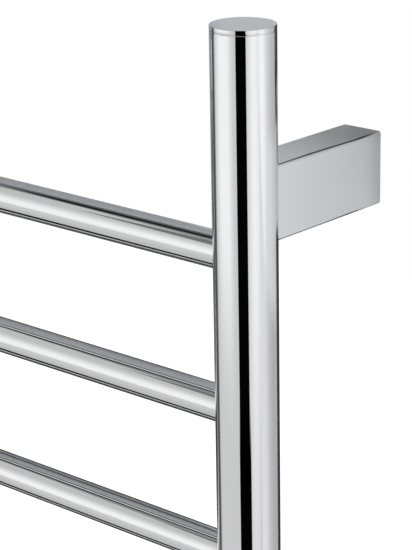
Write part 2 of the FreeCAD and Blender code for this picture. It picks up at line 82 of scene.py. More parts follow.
class Side(Enum):
    """Left or right, as a person faces the rack."""

    LEFT = -1
    RIGHT = 1

    @property
    def word(self) -> str:
        """The side's name as node names spell it."""
        return self.name.lower()


class End(Enum):
    """Upper or lower end of the ladder."""

    LOWER = -1
    UPPER = 1


@dataclass(frozen=True)
class Places:
    """Where the rack's main parts are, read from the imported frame."""

    top: float
    post_x: float
    depth: float
    bar_heights: tuple[float, ...]
    bar_length: float
    arm_height: float

    @classmethod
    def read(cls) -> Places:
        """Reads the places from the nodes' boxes.

        Returns:
            The places, in metres.
        """
        cap_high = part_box("cap_top_right")[1]
        post_low, post_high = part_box("post_right")
        bars = [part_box(f"bar_{row + 1}") for row in range(BAR_COUNT)]
        arm_low, arm_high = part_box("arm_upper_right")
        return cls(
            top=cap_high[2],
            post_x=(post_low[0] + post_high[0]) / 2,
            depth=(post_low[1] + post_high[1]) / 2,
            bar_heights=tuple((low[2] + high[2]) / 2 for low, high in bars),
            bar_length=bars[0][1][0] - bars[0][0][0],
            arm_height=(arm_low[2] + arm_high[2]) / 2,
        )


def shader_input(node: bpy.types.Node, name: str, value: object) -> None:
    """Sets one input of a shader node, where that input exists.

    Args:
        node: The node.
        name: The input's name.
        value: The number or colour to set.
    """
    if name in node.inputs:
        node.inputs[name].default_value = value


@dataclass(frozen=True)
class Finish:
    """A finish: one principled shader with an optional fine texture in its roughness and its surface."""

    name: str
    colour: tuple[float, float, float]
    metallic: float = 0.0
    roughness: float = 0.5
    roughness_spread: float = 0.0
    grain_scale: float = 400.0
    grain_stretch: tuple[float, float, float] = (1.0, 1.0, 1.0)
    bump_depth: float = 0.0
    coat: float = 0.0
    coat_roughness: float = 0.05
    mottle: float = 0.0
    emission: float = 0.0
    subsurface: float = 0.0

    def build(self) -> bpy.types.Material:
        """Makes the material.

        Returns:
            The finished material.
        """
        material = bpy.data.materials.new(self.name)
        material.use_nodes = True
        tree = material.node_tree
        shader = tree.nodes["Principled BSDF"]
        shader_input(shader, "Base Color", (*self.colour, 1.0))
        shader_input(shader, "Metallic", self.metallic)
        shader_input(shader, "Roughness", self.roughness)
        shader_input(shader, "Coat Weight", self.coat)
        shader_input(shader, "Coat Roughness", self.coat_roughness)
        shader_input(shader, "Subsurface Weight", self.subsurface)
        if self.emission:
            shader_input(shader, "Emission Color", (*self.colour, 1.0))
            shader_input(shader, "Emission Strength", self.emission)
        if self.roughness_spread or self.bump_depth or self.mottle:
            self._add_grain(tree, shader)
        return material

    def _add_grain(self, tree: bpy.types.NodeTree, shader: bpy.types.Node) -> None:
        """Adds the fine texture.

        Args:
            tree: The material's nodes.
            shader: The principled shader that the texture feeds.
        """
        place = tree.nodes.new("ShaderNodeTexCoord")
        mapping = tree.nodes.new("ShaderNodeMapping")
        mapping.inputs["Scale"].default_value = self.grain_stretch
        noise = tree.nodes.new("ShaderNodeTexNoise")
        noise.inputs["Scale"].default_value = self.grain_scale
        noise.inputs["Detail"].default_value = 3.0
        tree.links.new(place.outputs["Object"], mapping.inputs["Vector"])
        tree.links.new(mapping.outputs["Vector"], noise.inputs["Vector"])
        if self.roughness_spread:
            spread = tree.nodes.new("ShaderNodeMapRange")
            spread.inputs["To Min"].default_value = max(0.0, self.roughness - self.roughness_spread)
            spread.inputs["To Max"].default_value = self.roughness + self.roughness_spread
            tree.links.new(noise.outputs["Fac"], spread.inputs["Value"])
            tree.links.new(spread.outputs["Result"], shader.inputs["Roughness"])
        if self.mottle:
            ramp = tree.nodes.new("ShaderNodeValToRGB")
            dark = tuple(channel * (1.0 - self.mottle) for channel in self.colour)
            light = tuple(min(1.0, channel * (1.0 + self.mottle)) for channel in self.colour)
            ramp.color_ramp.elements[0].position = 0.3
            ramp.color_ramp.elements[0].color = (*dark, 1.0)
            ramp.color_ramp.elements[1].position = 0.7
            ramp.color_ramp.elements[1].color = (*light, 1.0)
            tree.links.new(noise.outputs["Fac"], ramp.inputs["Fac"])
            tree.links.new(ramp.outputs["Color"], shader.inputs["Base Color"])
        if self.bump_depth:
            bump = tree.nodes.new("ShaderNodeBump")
            bump.inputs["Strength"].default_value = 1.0
            bump.inputs["Distance"].default_value = self.bump_depth
            tree.links.new(noise.outputs["Fac"], bump.inputs["Height"])
            tree.links.new(bump.outputs["Normal"], shader.inputs["Normal"])


@dataclass(frozen=True)
class FinishBook:
    """Every finish, by the record's material slot."""

    finishes: tuple[tuple[str, Finish], ...] = (
        ("polished_chrome", Finish("polished chrome", (0.902, 0.904, 0.912), 1.0, 0.035, 0.01, 160.0)),
        ("satin_chrome", Finish("fine satin chrome", (0.90, 0.905, 0.91), 1.0, 0.12)),
        (
            "cast_block",
            Finish("blasted zinc casting", (0.52, 0.53, 0.54), 1.0, 0.48, 0.08, 1800.0, bump_depth=0.00003),
        ),
        ("plated_steel", Finish("zinc plated steel", (0.62, 0.63, 0.62), 1.0, 0.28, 0.07, 900.0, mottle=0.06)),
        ("black_oxide_steel", Finish("black oxide steel", (0.035, 0.035, 0.04), 0.8, 0.38, 0.05, 1200.0)),
        ("black_rubber", Finish("black rubber", (0.018, 0.018, 0.018), 0.0, 0.62, 0.06, 900.0, bump_depth=0.00001)),
        ("guide_rubber", Finish("red silicone bush", (0.42, 0.09, 0.05), 0.0, 0.5, 0.05, 700.0, subsurface=0.1)),
        ("cable_sheath", Finish("silicone cable sheath", (0.50, 0.07, 0.035), 0.0, 0.42, 0.05, 700.0)),
        ("shrink_sleeve", Finish("black shrink sleeve", (0.02, 0.02, 0.02), 0.0, 0.45, 0.06, 500.0)),
        ("cutout_can", Finish("drawn aluminium can", (0.78, 0.78, 0.79), 1.0, 0.25, 0.05, 700.0)),
        ("terminal_plastic", Finish("terminal plastic", (0.80, 0.78, 0.70), 0.0, 0.45, 0.04, 600.0)),
        ("live_insulation", Finish("brown lead", (0.11, 0.045, 0.02), 0.0, 0.4, 0.04, 600.0)),
        ("neutral_insulation", Finish("blue lead", (0.03, 0.11, 0.42), 0.0, 0.4, 0.04, 600.0)),
        ("earth_insulation", Finish("green lead", (0.12, 0.38, 0.03), 0.0, 0.4, 0.04, 600.0)),
        ("tinned_brass", Finish("tinned brass", (0.72, 0.66, 0.50), 1.0, 0.3, 0.05, 900.0)),
        ("switch_steel", Finish("turned steel", (0.66, 0.66, 0.67), 1.0, 0.22, 0.05, 1500.0)),
        ("indicator_lens", Finish("red lens", (0.55, 0.02, 0.012), 0.0, 0.12, coat=0.6, emission=0.15)),
    )

    def build(self) -> dict[str, bpy.types.Material]:
        """Makes every finish.

        Returns:
            The materials by slot name.
        """
        return {slot: finish.build() for slot, finish in self.finishes}


def new_object(name: str, mesh: bpy.types.Mesh, material: bpy.types.Material) -> bpy.types.Object:
    """Puts a mesh in the scene as a piece at the origin.

    Args:
        name: The piece's name.
        mesh: Its mesh, already in place.
        material: Its finish.

    Returns:
        The new piece.
    """
    mesh.materials.clear()
    mesh.materials.append(material)
    piece = bpy.data.objects.new(name, mesh)
    bpy.context.scene.collection.objects.link(piece)
    return piece


def smooth_by_angle(mesh: bpy.types.Mesh, degrees: float) -> None:
    """Shades a mesh smooth, with hard edges where it turns by more than an angle.

    Args:
        mesh: The mesh.
        degrees: The largest turn that is still smooth.
    """
    mesh.shade_smooth()
    mesh.set_sharp_from_angle(angle=math.radians(degrees))


def grown_mesh(name: str, tree: bpy.types.NodeTree, values: dict[str, object]) -> bpy.types.Mesh:
    """Runs a geometry node tree once and keeps its result as a plain mesh.

    Args:
        name: The mesh's name.
        tree: The node tree.
        values: The tree's inputs by name.

    Returns:
        The mesh that the tree makes.
    """
    holder = bpy.data.objects.new(name + "_holder", bpy.data.meshes.new(name + "_holder"))
    bpy.context.scene.collection.objects.link(holder)
    modifier = holder.modifiers.new(name, "NODES")
    modifier.node_group = tree
    for item in tree.interface.items_tree:
        if item.item_type == "SOCKET" and item.in_out == "INPUT":
            modifier[item.identifier] = values[item.name]
    holder.update_tag()
    mesh = bpy.data.meshes.new_from_object(holder.evaluated_get(bpy.context.evaluated_depsgraph_get()))
    holder.modifiers.remove(modifier)
    bpy.data.objects.remove(holder)
    mesh.name = name
    smooth_by_angle(mesh, 40.0)
    return mesh


def lathe(name: str, outline: list[tuple[float, float]], matrix: Matrix, steps: int = 192) -> bpy.types.Mesh:
    """Turns a closed outline of (radius, height) points about Z and moves the result into place.

    Args:
        name: The mesh's name.
        outline: The outline, in order round the section. A radius of 0 is a pole.
        matrix: Where the turned shape goes.
        steps: How many facets it has.

    Returns:
        A closed mesh whose faces point outwards.
    """
    builder = bmesh.new()
    rings: list[list[bmesh.types.BMVert]] = []
    for radius, height in outline:
        if radius < 1e-7:
            rings.append([builder.verts.new((0.0, 0.0, height))])
            continue
        ring = []
        for step in range(steps):
            angle = 2.0 * math.pi * step / steps
            ring.append(builder.verts.new((radius * math.cos(angle), radius * math.sin(angle), height)))
        rings.append(ring)
    for index, ring in enumerate(rings):
        other = rings[(index + 1) % len(rings)]
        if len(ring) == 1 and len(other) == 1:
            continue
        for step in range(steps):
            after = (step + 1) % steps
            corners = [ring[step % len(ring)], ring[after % len(ring)]]
            corners += [other[after % len(other)], other[step % len(other)]]
            unique = list(dict.fromkeys(corners))
            builder.faces.new(unique)
    bmesh.ops.recalc_face_normals(builder, faces=builder.faces)
    builder.transform(matrix)
    mesh = bpy.data.meshes.new(name)
    builder.to_mesh(mesh)
    builder.free()
    smooth_by_angle(mesh, 30.0)
    return mesh


def rounded_corner(
    centre: tuple[float, float], radius: float, start: float, stop: float, steps: int = 4
) -> list[tuple[float, float]]:
    """Points along a quarter round of an outline.

    Args:
        centre: The round's centre, as (radius, height).
        radius: The round's radius.
        start: The angle of its first point, in degrees.
        stop: The angle of its last point, in degrees.
        steps: How many runs it has.

    Returns:
        The points in order.
    """
    angles = [math.radians(start + (stop - start) * step / steps) for step in range(steps + 1)]
    return [(centre[0] + radius * math.cos(a), centre[1] + radius * math.sin(a)) for a in angles]


@dataclass
class Ladder:
    """The two posts and the eight bars."""

    chrome: bpy.types.Material
    places: Places
    seam_round: float = 0.0003

    def build(self) -> list[bpy.types.Object]:
        """Builds both posts and all the bars.

        Returns:
            The pieces.
        """
        pieces = [self._post(side) for side in Side]
        pieces += self._bars()
        return pieces

    def _post(self, side: Side) -> bpy.types.Object:
        """Builds one upright tube with softly rounded rims.

        Args:
            side: Which post.

        Returns:
            The piece, riding on the rack.
        """
        high = self.places.top - CAP_FLANGE
        soft = self.seam_round
        outline = [(POST_BORE, high), (POST_BORE, -high)]
        outline += rounded_corner((POST_RADIUS - soft, soft - high), soft, -90.0, 0.0)
        outline += rounded_corner((POST_RADIUS - soft, high - soft), soft, 0.0, 90.0)
        place = Matrix.Translation((side.value * self.places.post_x, self.places.depth, 0.0))
        name = f"post_tube_{side.word}"
        piece = new_object(name, lathe(name, outline, place, 256), self.chrome)
        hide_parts(f"post_{side.word}")
        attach(piece, "rack")
        return piece

    def _bars(self) -> list[bpy.types.Object]:
        """Builds the bars as one tube each, each grown by the same node tree at its own height.

        Returns:
            One piece per bar.
        """
        pieces = []
        tree = self._bar_tree()
        for row in range(BAR_COUNT):
            name = f"bar_tube_{row + 1}"
            values = {
                "Outer Radius": BAR_RADIUS,
                "Wall": BAR_RADIUS - BAR_BORE,
                "Length": self.places.bar_length,
                "Height": self.places.bar_heights[row],
                "Depth": self.places.depth,
                "Finish": self.chrome,
            }
            mesh = grown_mesh(name, tree, values)
            piece = new_object(name, mesh, self.chrome)
            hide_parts(f"bar_{row + 1}")
            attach(piece, "rack")
            pieces.append(piece)
        return pieces

    @staticmethod
    def _bar_tree() -> bpy.types.NodeTree:
        """Makes the node tree for a bar: a ring section swept along a straight line.

        Returns:
            The geometry node tree, with a named input for every size.
        """
        tree = bpy.data.node_groups.new("bar from a swept ring", "GeometryNodeTree")
        face = tree.interface
        for name in ("Outer Radius", "Wall", "Length", "Height", "Depth"):
            face.new_socket(name, in_out="INPUT", socket_type="NodeSocketFloat")
        face.new_socket("Finish", in_out="INPUT", socket_type="NodeSocketMaterial")
        face.new_socket("Geometry", in_out="OUTPUT", socket_type="NodeSocketGeometry")
        given = tree.nodes.new("NodeGroupInput")
        made = tree.nodes.new("NodeGroupOutput")

        def half(name: str, factor: float) -> bpy.types.NodeSocket:
            """The named input times a factor."""
            node = tree.nodes.new("ShaderNodeMath")
            node.operation = "MULTIPLY"
            node.inputs[1].default_value = factor
            tree.links.new(given.outputs[name], node.inputs[0])
            return node.outputs[0]

        def point(x: bpy.types.NodeSocket) -> bpy.types.NodeSocket:
            """A point of the bar's axis."""
            node = tree.nodes.new("ShaderNodeCombineXYZ")
            tree.links.new(x, node.inputs["X"])
            tree.links.new(given.outputs["Depth"], node.inputs["Y"])
            tree.links.new(given.outputs["Height"], node.inputs["Z"])
            return node.outputs[0]

        def tube(radius: bpy.types.NodeSocket, flip: bool) -> bpy.types.NodeSocket:
            """The wall of one radius along the axis."""
            ring = tree.nodes.new("GeometryNodeCurvePrimitiveCircle")
            ring.inputs["Resolution"].default_value = 144
            tree.links.new(radius, ring.inputs["Radius"])
            sweep = tree.nodes.new("GeometryNodeCurveToMesh")
            tree.links.new(axis.outputs["Curve"], sweep.inputs["Curve"])
            tree.links.new(ring.outputs["Curve"], sweep.inputs["Profile Curve"])
            if not flip:
                return sweep.outputs["Mesh"]
            turned = tree.nodes.new("GeometryNodeFlipFaces")
            tree.links.new(sweep.outputs["Mesh"], turned.inputs["Mesh"])
            return turned.outputs["Mesh"]

        axis = tree.nodes.new("GeometryNodeCurvePrimitiveLine")
        tree.links.new(point(half("Length", -0.5)), axis.inputs["Start"])
        tree.links.new(point(half("Length", 0.5)), axis.inputs["End"])
        bore = tree.nodes.new("ShaderNodeMath")
        bore.operation = "SUBTRACT"
        tree.links.new(given.outputs["Outer Radius"], bore.inputs[0])
        tree.links.new(given.outputs["Wall"], bore.inputs[1])
        join = tree.nodes.new("GeometryNodeJoinGeometry")
        tree.links.new(tube(given.outputs["Outer Radius"], False), join.inputs[0])
        tree.links.new(tube(bore.outputs[0], True), join.inputs[0])
        realize = tree.nodes.new("GeometryNodeRealizeInstances")
        dress = tree.nodes.new("GeometryNodeSetMaterial")
        tree.links.new(join.outputs[0], realize.inputs[0])
        tree.links.new(realize.outputs[0], dress.inputs["Geometry"])
        tree.links.new(given.outputs["Finish"], dress.inputs["Material"])
        tree.links.new(dress.outputs["Geometry"], made.inputs[0])
        return tree


@dataclass
class EndCaps:
    """The four caps that close the posts."""

    chrome: bpy.types.Material
    places: Places
    edge_round: float = 0.0002
    seam_round: float = 0.0003
    spigot_radius: float = 0.01735
    groove_radius: float = 0.0157
    spigot_bore: float = 0.0141
    spigot_length: float = 0.011
    groove_centre: float = 0.006
    groove_half: float = 0.00117
    switch_hole: float = 0.00905
    switch_hole_inner: float = 0.00795
    switch_seat: float = 0.0016

    def build(self) -> list[bpy.types.Object]:
        """Builds all four caps.

        Returns:
            The pieces.
        """
        return [self._cap(side, end) for end in End for side in Side]

    def _cap(self, side: Side, end: End) -> bpy.types.Object:
        """Builds one cap.

        Args:
            side: Which post it closes.
            end: Which end of that post.

        Returns:
            The piece, riding on the rack.
        """
        wired = side is Side.RIGHT and end is End.LOWER
        top = self.places.top
        bottom = top - CAP_FLANGE
        groove_high = bottom - self.groove_centre + self.groove_half
        groove_low = bottom - self.groove_centre - self.groove_half
        outline: list[tuple[float, float]] = []
        if wired:
            outline += [(self.switch_hole_inner, bottom), (self.switch_hole_inner, top - self.switch_seat)]
            outline += [(self.switch_hole, top - self.switch_seat), (self.switch_hole, top)]
        else:
            outline += [(0.0, bottom), (0.0, top)]
        outline += rounded_corner((POST_RADIUS - self.edge_round, top - self.edge_round), self.edge_round, 90.0, 0.0)
        soft = self.seam_round
        outline += rounded_corner((POST_RADIUS - soft, bottom + soft), soft, 0.0, -90.0)
        outline += [(self.spigot_radius, bottom), (self.spigot_radius, groove_high)]
        outline += [(self.groove_radius, groove_high), (self.groove_radius, groove_low)]
        outline += [(self.spigot_radius, groove_low), (self.spigot_radius, bottom - self.spigot_length)]
        outline += [(self.spigot_bore, bottom - self.spigot_length), (self.spigot_bore, bottom)]
        turn = Matrix.Rotation(math.pi, 4, "X") if end is End.LOWER else Matrix.Identity(4)
        place = Matrix.Translation((side.value * self.places.post_x, self.places.depth, 0.0)) @ turn
        level = "top" if end is End.UPPER else "bottom"
        name = f"cap_{level}_{side.word}_turned"
        piece = new_object(name, lathe(name, outline, place, 256), self.chrome)
        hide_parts(f"cap_{level}_{side.word}")
        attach(piece, "rack")
        return piece


@dataclass
class ReturnSpring:
    """The push switch's return spring: a coil of round wire, built at one length; the real spring shortens as the
    button goes in.
    """

    steel: bpy.types.Material
    places: Places
    wire_radius: float = 0.0003
    mean_radius: float = 0.0039
    turns: float = 4.5
    travel: float = 0.0025

    def build(self) -> list[bpy.types.Object]:
        """Builds the spring.

        Returns:
            The one piece, riding on the rack.
        """
        low, high = (corner[2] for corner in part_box("button_spring"))
        values = {
            "Wire Radius": self.wire_radius,
            "Coil Radius": self.mean_radius,
            "Turns": self.turns,
            "Length": high - low - 2.0 * self.wire_radius,
            "Place": (self.places.post_x, self.places.depth, low + self.wire_radius),
            "Finish": self.steel,
        }
        piece = new_object("return_spring_coil", grown_mesh("return_spring_coil", self._tree(), values), self.steel)
        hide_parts("button_spring")
        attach(piece, "rack")
        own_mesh(piece)
        return [piece]

    @staticmethod
    def _tree() -> bpy.types.NodeTree:
        """Makes the node tree for a coil of round wire with closed ends.

        Returns:
            The geometry node tree, with a named input for every size.
        """
        tree = bpy.data.node_groups.new("coil of round wire", "GeometryNodeTree")
        face = tree.interface
        for name in ("Wire Radius", "Coil Radius", "Turns", "Length"):
            face.new_socket(name, in_out="INPUT", socket_type="NodeSocketFloat")
        face.new_socket("Place", in_out="INPUT", socket_type="NodeSocketVector")
        face.new_socket("Finish", in_out="INPUT", socket_type="NodeSocketMaterial")
        face.new_socket("Geometry", in_out="OUTPUT", socket_type="NodeSocketGeometry")
        given = tree.nodes.new("NodeGroupInput")
        made = tree.nodes.new("NodeGroupOutput")
        coil = tree.nodes.new("GeometryNodeCurveSpiral")
        coil.inputs["Resolution"].default_value = 40
        for socket, source in (("Rotations", "Turns"), ("Height", "Length")):
            tree.links.new(given.outputs[source], coil.inputs[socket])
        for socket in ("Start Radius", "End Radius"):
            tree.links.new(given.outputs["Coil Radius"], coil.inputs[socket])
        ring = tree.nodes.new("GeometryNodeCurvePrimitiveCircle")
        ring.inputs["Resolution"].default_value = 12
        tree.links.new(given.outputs["Wire Radius"], ring.inputs["Radius"])
        sweep = tree.nodes.new("GeometryNodeCurveToMesh")
        sweep.inputs["Fill Caps"].default_value = True
        tree.links.new(coil.outputs["Curve"], sweep.inputs["Curve"])
        tree.links.new(ring.outputs["Curve"], sweep.inputs["Profile Curve"])
        place = tree.nodes.new("GeometryNodeTransform")
        tree.links.new(sweep.outputs["Mesh"], place.inputs["Geometry"])
        tree.links.new(given.outputs["Place"], place.inputs["Translation"])
        realize = tree.nodes.new("GeometryNodeRealizeInstances")
        dress = tree.nodes.new("GeometryNodeSetMaterial")
        tree.links.new(place.outputs["Geometry"], realize.inputs[0])
        tree.links.new(realize.outputs[0], dress.inputs["Geometry"])
        tree.links.new(given.outputs["Finish"], dress.inputs["Material"])
        tree.links.new(dress.outputs["Geometry"], made.inputs[0])
        return tree


@dataclass(frozen=True)
class LightPanel:
    """One pale panel of the studio, as a window of directions seen from the rack.

    Azimuth is in degrees from straight in front, positive to the right, and elevation in degrees above level.
    """

    azimuth: tuple[float, float]
    elevation: tuple[float, float]
    level: float
    azimuth_soft: tuple[float, float] = (10.0, 10.0)
    elevation_soft: tuple[float, float] = (10.0, 10.0)


@dataclass
class Studio:
    """Pale wall, floor and panels round the rack, and the camera."""

    places: Places
    floor_height: float = -0.95
    wall_gap: float = 0.001
    wall_left: float = -0.55
    wall_shade: float = 0.82
    wall_tint: tuple[float, float, float] = (0.97, 0.995, 1.03)
    # Height and spacing of the painted bar shadows on the wall.
    shadow_height: float = 0.254
    shadow_pitch: float = 0.096
    ambient: float = 0.34
    camera_place: tuple[float, float, float] = (1.0331, -0.9837, 0.7113)
    camera_turn: tuple[float, float, float] = (41.90, 18.50, -1.03)
    lens: float = 138.2
    panels: tuple[LightPanel, ...] = (
        LightPanel((-74.0, 75.0), (-90.0, 44.6), 0.36, (6.0, 50.0), (5.0, 3.0)),
        LightPanel((-68.0, 60.0), (-31.0, 27.0), 0.10, (14.0, 40.0), (12.0, 10.0)),
        LightPanel((-60.0, -6.0), (-14.0, 14.0), 0.41, (36.0, 30.0), (10.0, 28.0)),
        LightPanel((60.0, 170.0), (-90.0, 40.0), 0.44, (36.0, 30.0), (5.0, 20.0)),
        LightPanel((62.0, 170.0), (-16.0, 24.0), 0.28, (40.0, 30.0), (16.0, 18.0)),
        LightPanel((150.0, 190.0), (-90.0, 70.0), 0.42, (20.0, 2.0), (5.0, 20.0)),
        LightPanel((-190.0, -128.0), (-90.0, 70.0), 0.42, (2.0, 16.0), (5.0, 20.0)),
    )
    gaps: tuple[LightPanel, ...] = (
        LightPanel((14.2, 49.0), (-20.0, 30.0), 0.998, (0.8, 0.8), (3.0, 12.0)),
        LightPanel((12.2, 52.6), (-90.0, -17.0), 0.998, (1.6, 1.6), (2.0, 3.0)),
        LightPanel((-96.0, -76.0), (44.6, 90.0), 0.94, (4.0, 7.0), (3.0, 2.0)),
        LightPanel((-101.0, -70.5), (-90.0, -40.0), 0.985, (3.0, 7.0), (2.0, 6.0)),
        LightPanel((-104.0, -76.0), (-38.0, 38.0), 0.72, (8.0, 8.0), (8.0, 8.0)),
    )

    def build(self) -> None:
        """Sets the whole studio."""
        self._world()
        self._floor()
        self._wall()
        self._flag()
        self._camera()

    def _camera(self) -> None:
        """Makes the camera from its place, its turn and its lens."""
        yaw, pitch, roll = (math.radians(angle) for angle in self.camera_turn)
        ahead = Vector((-math.sin(yaw) * math.cos(pitch), math.cos(yaw) * math.cos(pitch), -math.sin(pitch)))
        right = ahead.cross(Vector((0.0, 0.0, 1.0))).normalized()
        up = right.cross(ahead)
        across = right * math.cos(roll) + up * math.sin(roll)
        upward = up * math.cos(roll) - right * math.sin(roll)
        turn = Matrix((across, upward, -ahead)).transposed().to_4x4()
        lens = bpy.data.cameras.new("camera")
        lens.lens = self.lens
        lens.sensor_width = 36.0
        lens.clip_start = 0.05
        camera = bpy.data.objects.new("camera", lens)
        camera.matrix_world = Matrix.Translation(self.camera_place) @ turn
        bpy.context.scene.collection.objects.link(camera)
        bpy.context.scene.camera = camera
        bpy.context.scene.view_settings.view_transform = "Standard"

    def _world(self) -> None:
        """Makes the pale surroundings: even white to the eye, and panels with dark gaps in reflections."""
        world = bpy.data.worlds.new("pale studio")
        bpy.context.scene.world = world
        world.use_nodes = True
        tree = world.node_tree
        tree.nodes.clear()
        place = tree.nodes.new("ShaderNodeTexCoord")
        split = tree.nodes.new("ShaderNodeSeparateXYZ")
        tree.links.new(place.outputs["Generated"], split.inputs[0])
        maths = SocketMaths(tree)
        azimuth = maths.degrees(maths.arctan2(split.outputs["X"], maths.negate(split.outputs["Y"])))
        elevation = maths.degrees(maths.arcsine(split.outputs["Z"]))
        total = maths.value(self.ambient)
        for panel in self.panels:
            total = maths.add(total, maths.window(azimuth, elevation, panel))
        for gap in self.gaps:
            total = maths.multiply(total, maths.complement(maths.window(azimuth, elevation, gap)))
        paths = tree.nodes.new("ShaderNodeLightPath")
        seen = tree.nodes.new("ShaderNodeBackground")
        seen.inputs["Strength"].default_value = 1.0
        seen.inputs["Color"].default_value = (1.0, 1.0, 1.0, 1.0)
        around = tree.nodes.new("ShaderNodeBackground")
        tree.links.new(total, around.inputs["Strength"])
        mix = tree.nodes.new("ShaderNodeMixShader")
        tree.links.new(paths.outputs["Is Camera Ray"], mix.inputs[0])
        tree.links.new(around.outputs[0], mix.inputs[1])
        tree.links.new(seen.outputs[0], mix.inputs[2])
        out = tree.nodes.new("ShaderNodeOutputWorld")
        tree.links.new(mix.outputs[0], out.inputs["Surface"])

    def _floor(self) -> None:
        """Lays the pale floor."""
        floor = self._sheet("floor", [(-3.0, 3.0), (-3.0, 3.0)], self.floor_height, 0.9, 0.8)
        floor.visible_glossy = False

    def _sheet(
        self, name: str, reach: list[tuple[float, float]], height: float, shade: float, glow: float
    ) -> bpy.types.Object:
        """Lays one level sheet.

        Args:
            name: Its name.
            reach: Its limits along X and Y.
            height: Its height.
            shade: Its paleness.
            glow: How bright it stays in shade.

        Returns:
            The staged sheet.
        """
        (left, right), (near, far) = reach
        mesh = bpy.data.meshes.new(name)
        corners = [(left, near, height), (right, near, height), (right, far, height), (left, far, height)]
        mesh.from_pydata(corners, [], [(0, 1, 2, 3)])
        piece = new_object(name, mesh, self._plain(name, shade, glow))
        return piece

    @staticmethod
    def _plain(name: str, shade: float, glow: float) -> bpy.types.Material:
        """A plain pale paint that may glow a little.

        Args:
            name: The paint's name.
            shade: Its paleness.
            glow: Its own light.

        Returns:
            The paint.
        """
        material = bpy.data.materials.new(name + " paint")
        material.use_nodes = True
        shader = material.node_tree.nodes["Principled BSDF"]
        shader_input(shader, "Base Color", (shade, shade, shade, 1.0))
        shader_input(shader, "Roughness", 1.0)
        shader_input(shader, "Specular IOR Level", 0.0)
        shader_input(shader, "Emission Color", (1.0, 1.0, 1.0, 1.0))
        shader_input(shader, "Emission Strength", glow)
        return material

    def _wall(self) -> None:
        """Puts up the wall that the chrome mirrors, open behind each arm and left out of direct sight."""
        margin = 0.0005
        half_width, half_height = ARM_HALF_WIDTH + margin, ARM_HALF_HEIGHT + margin
        xs = [self.wall_left]
        for side in Side:
            centre = side.value * self.places.post_x
            xs += [centre - half_width, centre + half_width]
        xs.append(3.0)
        zs = [self.floor_height]
        for end in End:
            centre = end.value * self.places.arm_height
            zs += [centre - half_height, centre + half_height]
        zs.append(1.9)
        mesh = bpy.data.meshes.new("wall")
        corners = [(x, self.wall_gap, z) for z in zs for x in xs]
        faces = []
        for row in range(len(zs) - 1):
            for column in range(len(xs) - 1):
                if row % 2 == 1 and column % 2 == 1:
                    continue
                first = row * len(xs) + column
                faces.append((first, first + 1, first + len(xs) + 1, first + len(xs)))
        mesh.from_pydata(corners, [], faces)
        wall = new_object("wall", mesh, self._wall_paint())
        wall.visible_camera = False

    def _wall_paint(self) -> bpy.types.Material:
        """The wall's paint, with painted light and painted shadows that the chrome mirrors: a painted glow to the
        right of the rack and next to each arm, and painted shadows behind the ladder, under each bar, round the post
        and over each arm.

        Returns:
            The paint.
        """
        material = self._plain("wall", self.wall_shade, 0.0)
        tree = material.node_tree
        shader = tree.nodes["Principled BSDF"]
        place = tree.nodes.new("ShaderNodeTexCoord")
        split = tree.nodes.new("ShaderNodeSeparateXYZ")
        tree.links.new(place.outputs["Object"], split.inputs[0])
        maths = SocketMaths(tree)
        x, z = split.outputs["X"], split.outputs["Z"]
        beside_arm = maths.multiply(maths.ramp(z, 0.25, 0.29), maths.ramp(z, 0.40, 0.375))
        # Painted light on the wall: it glows brighter further to the right of the rack, less so low down, with a
        # painted pool of light next to each arm.
        low = maths.ramp(z, 0.40, 0.20)
        glow = maths.multiply(maths.ramp(x, 0.30, 0.66), maths.complement(maths.multiply(low, 0.35)))
        painted_light_by_arm = maths.multiply(beside_arm, maths.multiply(maths.ramp(x, 0.22, 0.30), maths.ramp(x, 0.50, 0.38)))
        glow = maths.add(maths.multiply(glow, 0.42), maths.multiply(painted_light_by_arm, 0.13))
        # Painted shadows and painted shade on the wall, each a soft mask: painted shadow behind the ladder, darker
        # still behind its lower part, a painted shadow under each bar, a painted shadow on the wall just above each
        # arm, painted shade to the right of the post below the arm's top, and painted shade low down and high up
        # behind the ladder.
        behind = maths.multiply(maths.ramp(x, 0.168, 0.125), maths.ramp(z, 0.95, 0.80))
        deeper_painted_shadow = maths.multiply(maths.ramp(x, 0.22, 0.16), maths.ramp(z, 0.36, 0.30))
        wave = maths.cosine(maths.multiply(maths.add(z, -self.shadow_height), 2.0 * math.pi / self.shadow_pitch))
        painted_bar_shadows = maths.multiply(maths.multiply(maths.ramp(wave, -0.3, 0.7), maths.ramp(x, 0.24, 0.20)), maths.ramp(z, 0.30, 0.28))
        painted_contact_shadow = maths.multiply(maths.multiply(maths.ramp(z, 0.425, 0.392), maths.ramp(x, 0.31, 0.29)), maths.ramp(x, 0.17, 0.21))
        painted_shade_right_of_post = maths.multiply(maths.ramp(x, 0.31, 0.37), maths.ramp(z, 0.40, 0.34))
        painted_shade_right_of_post = maths.multiply(painted_shade_right_of_post, maths.complement(beside_arm))
        bottom = maths.multiply(maths.ramp(x, 0.24, 0.18), maths.ramp(z, 0.14, 0.11))
        painted_shade_high_up = maths.multiply(maths.ramp(x, 0.22, 0.16), maths.ramp(z, 0.70, 0.95))
        # Painted shadow of the post on the wall, left out level with the arm, and a painted dark line on the wall
        # just above each arm, which the arm's rounded top edge mirrors as a dark line.
        clear_of_arm = maths.add(maths.ramp(z, 0.335, 0.322), maths.ramp(z, 0.41, 0.43))
        post_shadow = maths.multiply(maths.multiply(maths.ramp(x, 0.230, 0.246), maths.ramp(x, 0.324, 0.308)), clear_of_arm)
        over_arm = maths.multiply(maths.ramp(z, 0.392, 0.404), maths.ramp(z, 0.44, 0.42))
        painted_dark_line_over_arm = maths.multiply(maths.multiply(maths.ramp(x, 0.281, 0.289), maths.ramp(x, 0.320, 0.306)), over_arm)
